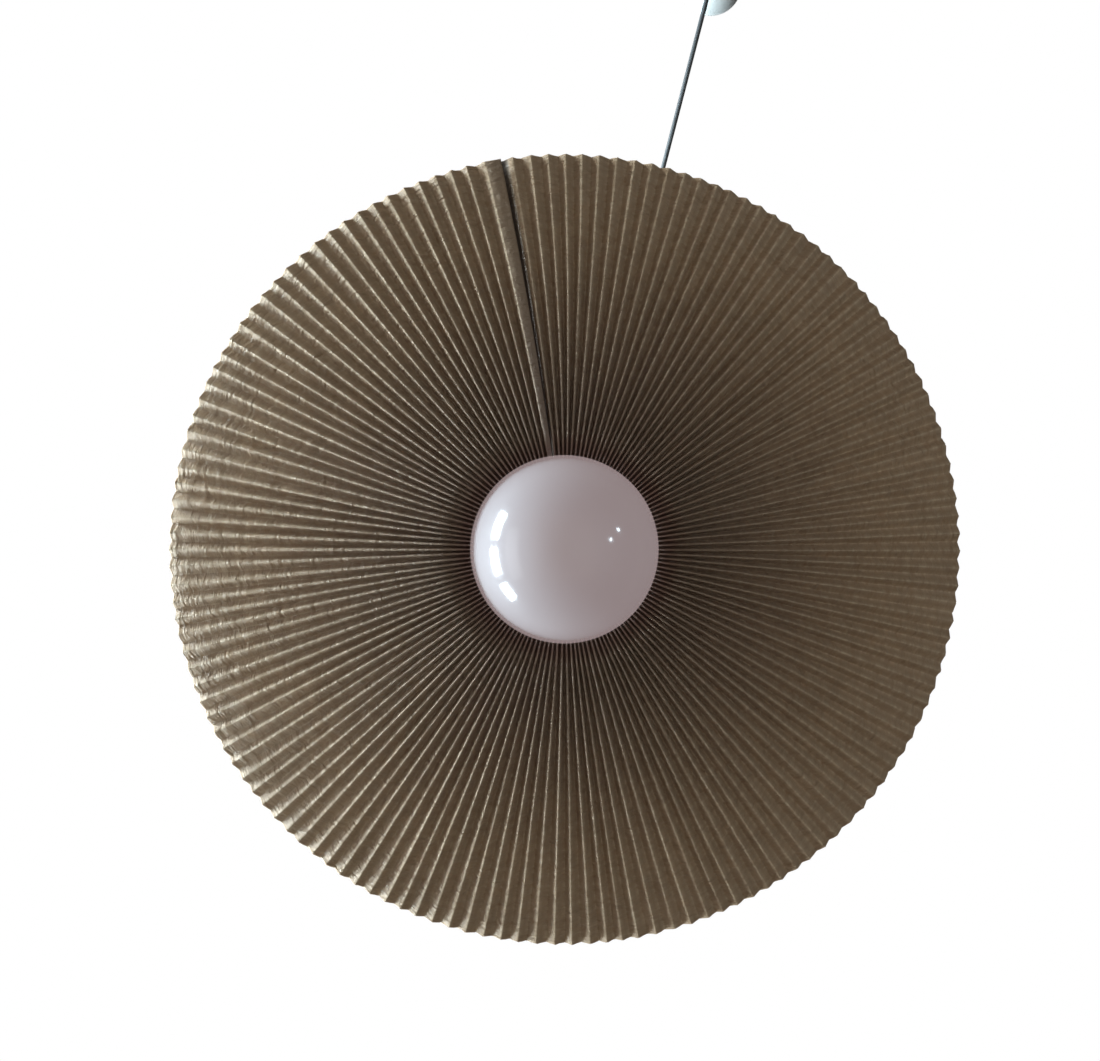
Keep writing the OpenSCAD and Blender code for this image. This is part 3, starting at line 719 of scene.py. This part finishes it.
def make_shade():
    rng = np.random.default_rng(11)
    radius, height, tilt = shade_profile()
    rows = len(radius)
    pitch = 2 * math.pi / (PLEATS - 1 + LAP_PITCHES)
    # Fold angles at the rim: ridges and the valleys between them, with an uneven pitch. The first
    # and the last ridge are on either side of the lap.
    folds = 2 * PLEATS - 1
    step = np.full(folds - 1, pitch / 2)
    step *= 1 + 0.055 * rng.normal(size=folds - 1).clip(-2, 2)
    pair = np.repeat(1 + 0.045 * rng.normal(size=folds // 2).clip(-2, 2), 2)
    step *= pair
    step *= (PLEATS - 1) * pitch / step.sum()
    fold_angle = SEAM_AT + LAP_PITCHES * pitch + np.concatenate([[0], np.cumsum(step)])
    level = np.where(np.arange(folds) % 2 == 0, -1.0, 1.0)      # near ridges hang lowest
    shift = smooth_noise(rng, rows, folds, 22) * 0.020          # in pitches, along the fold
    lift = smooth_noise(rng, rows, folds, 16) * 0.035           # in half depths
    half_pitch = radius * pitch / 2
    depth = np.sqrt(PLEAT_FACE ** 2 - half_pitch ** 2) / 2
    share = np.clip((RIM_R - radius) / (RIM_R - WAIST_R), 0, 1)
    crest_r = (0.50 - 0.22 * share) * MM
    twist = SEAM_TWIST * share
    columns, crest, lap_shade, slit_shadow, across = [], [], [], [], []

    def angle_at(i):
        return fold_angle[i] + shift[:, i] * pitch * (1 - 0.55 * share)

    def push(angle, out, is_crest, lap_shade_share, u, slit_shadow_share=0.0):
        """Adds one column: its angle, distance out of the sheet, marks (crest, painted lap shade, painted
        slit shadow) and place across the sheet.
        """
        from_seam = np.abs(angle - SEAM_AT - 2 * math.pi * (angle > 6))
        wander = twist * np.clip(1 - from_seam / LAP_TWIST_REACH, 0, 1)
        columns.append((angle + wander, out))
        crest.append(is_crest)
        lap_shade.append(lap_shade_share)
        slit_shadow.append(slit_shadow_share)
        across.append(u)

    def fold_out(i):
        return level[i] * depth * (1 + lift[:, i])

    def add_fold(i, u):
        """A rounded crease: its apex, and a tangent point on each side that has a face."""
        here, out = angle_at(i), fold_out(i)
        for side in (-1, 0, 1):
            if side == 0:
                push(here, out - level[i] * crest_r * 0.42, 1.0, 0.0, u)
                continue
            if not 0 <= i + side < folds:
                continue
            gap_a = (angle_at(i + side) - here) * radius
            gap_o = fold_out(i + side) - out
            long = np.sqrt(gap_a ** 2 + gap_o ** 2)
            t = crest_r * 1.25 / long
            # Close to the ridge the faces bow apart into a rounded U.
            bow = side * crest_r * (1 - np.clip(np.abs(gap_a) / long, 0, 1)) * 0.9
            push(here + (gap_a * t + bow) / radius, out + gap_o * t, 0.55, 0.0, u + side * 0.06)

    def add_middle(i, bulge):
        a = (angle_at(i) + angle_at(i + 1)) / 2
        out = (fold_out(i) + fold_out(i + 1)) / 2
        push(a + bulge / radius * (1 - share), out, 0.0, 0.0, i + 0.5)

    # The sheet's first edge lies flat behind the lap and comes out to the first ridge; these columns carry
    # the painted shadow of the slit.
    first, last = angle_at(0), angle_at(folds - 1)
    for back, out, slit_shadow_share, u in ((1.45, 0.95, 1, -1.9), (1.0, 0.95, 1, -1.4), (0.52, 1.0, 1, -0.9),
                               (0.34, 0.3, 0.7, -0.6), (0.22, -0.15, 0, -0.4)):
        push(first - back * pitch, depth * out, 0.0, 0.0, u, slit_shadow_share)
    for i in range(folds):
        add_fold(i, float(i))
        if i < folds - 1:
            add_middle(i, rng.normal() * 0.12 * MM)
    # The other edge is the lap: a face that lies flat, over the hidden edge.
    for ahead, low, edge in ((0.08, 1.0, 0.5), (0.50, 0.96, 0.0), (0.86, 0.92, 0.0), (0.95, 0.90, 0.6)):
        push(last + ahead * pitch, fold_out(folds - 1) * low, edge, 1.0, folds - 1 + ahead * 2)
    n = len(columns)
    angle, out = (np.stack([c[k] for c in columns], axis=1) for k in (0, 1))
    crinkle = smooth_noise(rng, rows, n, 1.7) * 0.055 * MM
    out = out + crinkle * (1 - 0.7 * share[:, None])
    reach = radius[:, None] + out * np.sin(tilt)[:, None]
    uneven = smooth_noise(rng, 1, n, 1) * 0.12 * MM
    z = height[:, None] + out * np.cos(tilt)[:, None] - DROP
    x, y = reach * np.cos(angle), reach * np.sin(angle)
    x[0] += uneven[0] * np.cos(angle[0])
    y[0] += uneven[0] * np.sin(angle[0])
    points = np.stack([x, y, z], axis=-1).reshape(-1, 3)
    shade = new_object("paper_shade", points, grid_faces(rows, n, close_columns=False), 180)
    add_float(shade, "crest", np.tile(crest, rows))
    add_float(shade, "lap_shade", np.tile(lap_shade, rows) * 0.8)
    add_float(shade, "slit_shadow", np.tile(slit_shadow, rows) * 0.9)
    add_float(shade, "inward", np.repeat(share, n))
    slant = np.concatenate([[0], np.cumsum(np.hypot(np.diff(radius), np.diff(height)))])
    layer = shade.data.uv_layers.new(name="sheet")
    index = np.zeros(len(shade.data.loops), np.int32)
    shade.data.loops.foreach_get("vertex_index", index)
    uv = np.stack([np.array(across)[index % n] * PLEAT_FACE, slant[index // n]], axis=1)
    layer.data.foreach_set("uv", uv.astype(np.float32).ravel())
    thick = shade.modifiers.new("paper", "SOLIDIFY")
    thick.thickness = PAPER_T
    thick.offset = 0
    bpy.context.view_layer.objects.active = shade
    bpy.ops.object.modifier_apply(modifier="paper")
    install(shade, "pendant", MATERIALS["shade_paper"], "pleated_shade")


def add_float(obj, name, values):
    layer = obj.data.attributes.new(name, "FLOAT", "POINT")
    layer.data.foreach_set("value", np.asarray(values, np.float32))


make_shade()


# ---- The string that gathers the waist ----

STRING_LAY = 4.2 * MM       # of one turn of the string's two strands


def string_path(points, radius, phase):
    """One strand of a twisted string, wound round the string's own line."""
    line = spline(points, radius * 0.8)
    way = np.gradient(line, axis=0)
    way /= np.linalg.norm(way, axis=1)[:, None]
    side = np.cross(way, (0.05, 0.11, 1))
    side /= np.linalg.norm(side, axis=1)[:, None]
    up = np.cross(way, side)
    along = np.concatenate([[0], np.cumsum(np.linalg.norm(np.diff(line, axis=0), axis=1))])
    turn = (2 * np.pi * (along / STRING_LAY) + phase)[:, None]
    return line + radius * (np.cos(turn) * side + np.sin(turn) * up)


def make_string():
    """Twisted string round the waist's pleats, tied in a knot with two tails."""
    half_pitch = math.pi * WAIST_R / PLEATS
    depth = math.sqrt(PLEAT_FACE ** 2 - half_pitch ** 2) / 2
    loop_r = WAIST_R + depth + 1.9 * MM
    base = -DROP + WAIST_H
    loop = [(loop_r * math.sin(a), loop_r * math.cos(a), base)
            for a in np.linspace(-0.02, 2 * math.pi - 0.02, 121)]
    knot = Vector((0, loop_r + 0.9 * MM, base))
    turns = np.linspace(0, 2 * math.pi * 2.2, 40)
    tie = [knot + Vector((1.9 * MM * math.cos(a), 1.1 * MM * math.sin(a) + 0.3 * MM,
                          (-1.6 + 3.2 * k / 39) * MM)) for k, a in enumerate(turns)]
    tails = []
    for side in (-1, 1):
        tails.append([knot + Vector((side * x * MM, y * MM, z * MM)) for x, y, z in
                      ((0.4, 0.6, -0.6), (3, 2.2, -1.8), (6.4, 2.4, -6), (8 + side * 0.5, 2.6, -12),
                       (8.4, 3.4, -18.5 - side * 1.2))])
    parts = []
    for k, line in enumerate([loop, tie, *tails]):
        thick = (0.50 if k == 0 else 0.42) * MM
        for strand in range(2):
            path = string_path(line, thick * 0.95, math.pi * strand)
            parts.append(sweep(f"strand_{k}_{strand}", path, thick, 7))
    string = joined("gather_string_finished", parts)
    install(string, "pendant", MATERIALS["cotton_string"], "gather_string")


make_string()


# ---- The bulb ----

GLOBE_R = 0.0625
NECK_R, NECK_FILLET, NECK_TOP = 0.017, 0.018, 0.079
GLASS_T = 0.001


def arc(centre, radius, first, last, steps):
    return [(centre[0] + radius * math.cos(math.radians(first + (last - first) * k / steps)),
             centre[1] + radius * math.sin(math.radians(first + (last - first) * k / steps)))
            for k in range(steps + 1)]


def glass_skin(inset):
    """The globe, the curve into its neck, and the neck, from the bottom up."""
    x = NECK_R + NECK_FILLET
    y = math.sqrt((GLOBE_R + NECK_FILLET) ** 2 - x * x)
    meet = math.degrees(math.atan2(y, x))
    skin = arc((0, 0), GLOBE_R - inset, -90, meet, 72)
    skin[0] = (0.0, skin[0][1])
    skin += arc((x, y), NECK_FILLET + inset, 180 + meet, 180, 14)[1:]
    neck = spline([(NECK_R - inset, NECK_TOP), (0.0163 - inset, 0.082), (0.0138 - inset, 0.0852),
                   (0.0124 - inset, 0.088), (0.0124 - inset, 0.092)], 0.0008)
    return skin + [tuple(p) for p in neck]


def thread_wave(z, angle, low, high):
    """Depth of a round Edison thread from 0 to 1, fading out at both ends."""
    fade = min(1.0, max(0.0, (z - low) / 0.0022), max(0.0, (high - z) / 0.0022))
    fade = max(0.0, fade)
    phase = 2 * math.pi * z / THREAD_PITCH - angle
    return fade * (0.5 - 0.5 * math.cos(phase))


def threaded(name, low, high, radius, thickness, deep, wave_low, wave_high, steps=72):
    """A rolled sheet-metal thread: a thin wall whose two faces follow the same helix."""
    rows = int((high - low) / THREAD_PITCH * 12)
    heights = np.linspace(low, high, rows)
    outline = [(radius, z) for z in heights] + [(radius - thickness, z) for z in heights[::-1]]

    def shape(r, z, angle):
        return r - deep * thread_wave(z, angle, wave_low, wave_high)

    return revolve(name, outline, base=-DROP, steps=steps, shape=shape)


def make_bulb():
    outer, inner = glass_skin(0), glass_skin(GLASS_T)
    globe = revolve("opal_globe", outer + inner[::-1], base=-DROP, steps=160)
    install(globe, "bulb", MATERIALS["opal_glass"], "bulb_globe")
    shell = threaded("screw_cap_shell", 0.0865, 0.108, 0.01305, 0.0003, 0.0010, 0.0925, 0.1078)
    top = revolve("screw_cap_top", rounded(
        [(0.01305, 0.1078), (0.0121, 0.1095), (0.0112, 0.1102), (0.0108, 0.1099), (0.0120, 0.1090),
         (0.01275, 0.1075)], 0.3 * MM), base=-DROP, steps=96)
    bead = revolve("screw_cap_bead", rounded(
        [(0.01305, 0.0862), (0.01325, 0.0866), (0.01325, 0.0872), (0.01305, 0.0876), (0.01270, 0.0870)],
        0.15 * MM), base=-DROP, steps=96)
    cap = joined("screw_cap", [shell, top, bead])
    install(cap, "bulb", MATERIALS["nickel"], "bulb_cap")
    insulator = revolve("tip_insulator", rounded(
        [(0.0, 0.1105), (0.0108, 0.1105), (0.0102, 0.1116), (0.0078, 0.1127), (0.0052, 0.1132),
         (0.0, 0.1132)],
        0.4 * MM), base=-DROP, steps=72)
    install(insulator, "bulb_tip", MATERIALS["black_glass"], "bulb_insulator")
    contact = revolve("tip_contact", rounded(
        [(0.0, 0.1132), (0.0046, 0.1132), (0.0046, 0.1138), (0.0036, 0.1147), (0.0018, 0.1150),
         (0.0, 0.1150)],
        0.4 * MM), base=-DROP, steps=48)
    install(contact, "bulb_tip", MATERIALS["solder"], "bulb_contact")


make_bulb()


# ---- The lampholder, its shade rings and the cord grips ----

def coarse_thread(z, angle, low, high, pitch=0.0025):
    """Height of a trapezoid thread from 0 to 1, for the plastic skirt."""
    phase = (z / pitch - angle / (2 * math.pi)) % 1.0
    ramp = min(1.0, max(0.0, (0.36 - abs(phase - 0.5)) / 0.14))
    fade = max(0.0, min(1.0, (z - low) / 0.0015, (high - z) / 0.0015))
    return ramp * fade


def make_holder():
    heights = np.arange(0.0872, 0.1155, 0.00021)
    outside = [(0.0195, z) for z in heights]
    skirt_profile = ([(0.0152, 0.0862), (0.0156, 0.0860), (0.0186, 0.0860), (0.0191, 0.0863)] + outside
                     + [(0.0189, 0.1158), (0.0180, 0.1161), (0.0180, 0.1228), (0.0178, 0.1230),
                        (0.0168, 0.1230), (0.0166, 0.1228), (0.0166, 0.0900), (0.0152, 0.0886)])

    def skirt_shape(r, z, angle):
        if r < 0.0194:
            return r
        return r - 0.0008 * (1 - coarse_thread(z, angle, 0.0880, 0.1150))

    skirt = revolve("holder_skirt", skirt_profile, base=-DROP, steps=96, shape=skirt_shape)
    install(skirt, "pendant", MATERIALS["black_thermoset"], "lampholder_skirt")
    wall, rim = 0.002, 0.0201
    dome_out = arc((rim - 0.017, 0.130), 0.017, 0, 78, 20)
    dome_in = arc((rim - 0.017, 0.130), 0.015, 78, 0, 20)
    ribs = 36

    def ribbed(r, z, angle):
        """Shallow grip ribs round the cap's straight wall."""
        if r < 0.0200 or not 0.1185 < z < 0.1265:
            return r
        return r - 0.00035 * (0.5 + 0.5 * math.cos(ribs * angle)) ** 2

    wall_rows = [(rim, z) for z in (0.1166, 0.1180, 0.1186, 0.1200, 0.1220, 0.1240, 0.1258, 0.1264, 0.128)]
    cap_profile = ([(0.0181, 0.1165), (0.0183, 0.1163), (0.0199, 0.1163)] + wall_rows + dome_out
                   + [(0.0080, 0.1470), (0.0053, 0.1470), (0.0051, 0.1468), (0.0051, 0.1450)] + dome_in
                   + [(rim - wall, 0.126), (0.0181, 0.124)])
    cap = revolve("holder_cap", cap_profile, base=-DROP, steps=288, shape=ribbed)
    install(cap, "pendant", MATERIALS["black_thermoset"], "lampholder_cap")
    shell = threaded("thread_sleeve", 0.0905, 0.1136, 0.01395, 0.0004, 0.0009, 0.0918, 0.1120)
    install(shell, "pendant", MATERIALS["brass"], "thread_shell")
    for node in ("shade_ring_lower", "shade_ring_upper"):
        low, high = (p.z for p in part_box(node))
        make_shade_ring(node, low, high)


def make_shade_ring(node, low, high):
    """A ring nut with 24 finger notches and a dished face."""
    outer, inner = 0.029, 0.01955
    tall = high - low
    outline = [(inner, 0.0005), (inner + 0.0005, 0), (outer - 0.001, 0), (outer - 0.0003, 0.0003),
               (outer, 0.001)]
    outline += [(outer, tall * t) for t in (0.3, 0.5, 0.7)]
    outline += [(outer, tall - 0.001), (outer - 0.0003, tall - 0.0003), (outer - 0.001, tall)]
    if node.endswith("lower"):
        outline = [(r, z) for r, z in outline if z > 0 or r < outer - 0.002]
        outline = ([(inner, 0.0005), (inner + 0.0005, 0), (0.0215, 0), (0.0222, 0.0007), (0.0262, 0.0007),
                    (0.0268, 0), (outer - 0.001, 0)] + [p for p in outline if p[0] >= outer - 0.0005]
                   + [(outer - 0.001, tall)])
    outline += [(inner + 0.0005, tall), (inner, tall - 0.0005)]

    def notched(r, z, angle):
        if r < outer - 0.0012:
            return r
        swing = abs((angle * 24 / (2 * math.pi)) % 1.0 - 0.5) * 2
        return r - 0.0008 * max(0.0, 1 - ((1 - swing) / 0.36) ** 2) ** 0.5 if swing > 0.64 else r

    ring = revolve(f"{node}_finished", outline, base=low, steps=480, shape=notched)
    install(ring, "pendant", MATERIALS["black_thermoset"], node)


def make_grips():
    bore = CORD_D / 2 + 0.05 * MM
    holder_grip = [(bore, 0.1425), (0.0047, 0.1425), (0.0049, 0.1427), (0.0049, 0.1471), (0.0080, 0.1471),
                   (0.0084, 0.1475), (0.0085, 0.1482), (0.0085, 0.1556)]
    taper = spline([(0.0085, 0.1556), (0.0076, 0.1580), (0.0060, 0.1622), (0.0050, 0.1665),
                    (0.0043, 0.1700), (0.0040, 0.1716)], 0.0012)
    holder_grip += [tuple(p) for p in taper[1:]] + [(0.0037, 0.1720), (0.0031, 0.1720), (bore, 0.1716)]

    def grooved(r, z, angle):
        """Shallow flex grooves round the taper."""
        if r < 0.0036 or not 0.1585 < z < 0.1712:
            return r
        return r - 0.00035 * (0.5 + 0.5 * math.cos(2 * math.pi * (z - 0.1585) / 0.0026)) ** 3

    fine = []
    for a, b in zip(holder_grip, holder_grip[1:]):
        n = 5 if a[1] > 0.1555 and b[1] > a[1] else 1
        fine += [(a[0] + (b[0] - a[0]) * k / n, a[1] + (b[1] - a[1]) * k / n) for k in range(n)]
    fine.append(holder_grip[-1])
    grip = revolve("holder_cord_grip", fine, base=-DROP, steps=72, shape=grooved)
    install(grip, "pendant", MATERIALS["black_polyamide"], "cord_grip")
    foot = -0.062
    rose_grip = [(bore, -0.0545), (0.0047, -0.0545), (0.0049, -0.0547), (0.0049, foot - 0.0001),
                 (0.0080, foot - 0.0001), (0.0084, foot - 0.0006), (0.0084, foot - 0.008)]
    taper = spline([(0.0084, foot - 0.008), (0.0070, foot - 0.0112), (0.0055, foot - 0.0160),
                    (0.0045, foot - 0.0207), (0.0041, foot - 0.0217)], 0.0012)
    rose_grip += [tuple(p) for p in taper[1:]] + [(0.0038, foot - 0.022), (0.0031, foot - 0.022),
                                                 (bore, foot - 0.0216)]
    grip = revolve("rose_cord_grip_finished", rose_grip, at=ROSE_AT, steps=72)
    install(grip, "rose_cup", MATERIALS["white_plastic"], "rose_cord_grip")


def make_rose_cup():
    """The cup: a drum with a wide rounded foot, open at the ceiling."""
    mouth, tall, corner, wall = 0.040, 0.062, 0.008, 0.0022
    foot = mouth - 0.005
    outline = [(mouth - wall, -0.0008), (mouth - wall + 0.0003, -0.0006), (mouth - 0.0003, -0.0006),
               (mouth, -0.0009), (mouth, -0.0034), (mouth - 0.0002, -0.0044)]
    outline += arc((foot - corner, -tall + corner), corner, 0, -90, 16)
    outline += [(0.0055, -tall), (0.0052, -tall + 0.0003), (0.0052, -tall + wall)]
    outline += arc((foot - corner, -tall + corner), corner - wall, -90, 0, 12)
    outline += [(mouth - wall - 0.0002, -0.0044)]
    cup = revolve("rose_cup_finished", outline, at=ROSE_AT, steps=160)
    install(cup, "rose_cup", MATERIALS["white_plastic"], "rose_cup")


make_holder()
make_grips()
make_rose_cup()


# ---- Pieces that keep their CAD shape, with their edges rounded over ----

# Width of the rounding, in millimetres; a piece with 0 keeps its CAD mesh.
EDGE_WIDTHS = {
    "shade_carrier": 0.3, "lampholder_core": 0.35, "centre_contact": 0.1, "side_contact": 0.1,
    "holder_terminals": 0.3, "holder_terminal_screws": 0.2, "holder_wires": 0.0, "cord_grip_screw": 0.2,
    "bulb_stem": 0.0, "bulb_wires": 0.0, "bulb_filaments": 0.2,
    "hook_plate": 0.4, "hook_saddle": 0.4, "hook_saddle_screw": 0.25, "hook_clamp": 0.3,
    "hook_clamp_screws": 0.15, "rose_plate": 0.2, "rose_cord_clamp": 0.25, "rose_clamp_screws": 0.15,
    "terminal_block": 0.3, "terminal_screws": 0.15, "rose_wires": 0.0, "rose_grip_nut": 0.25,
    "rose_grip_screw": 0.2,
}


def finish_cad_pieces():
    slots = {p["node"]: p["material_slot"] for p in frame["record"]["subparts"]}
    for node, width in EDGE_WIDTHS.items():
        body = frame["nodes"][node]["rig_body"]
        if width:
            install(polished(node, width * MM), body, MATERIALS[slots[node]], node)
            continue
        own = frame["nodes"][node]
        own.data.materials.clear()
        own.data.materials.append(MATERIALS[slots[node]])


finish_cad_pieces()
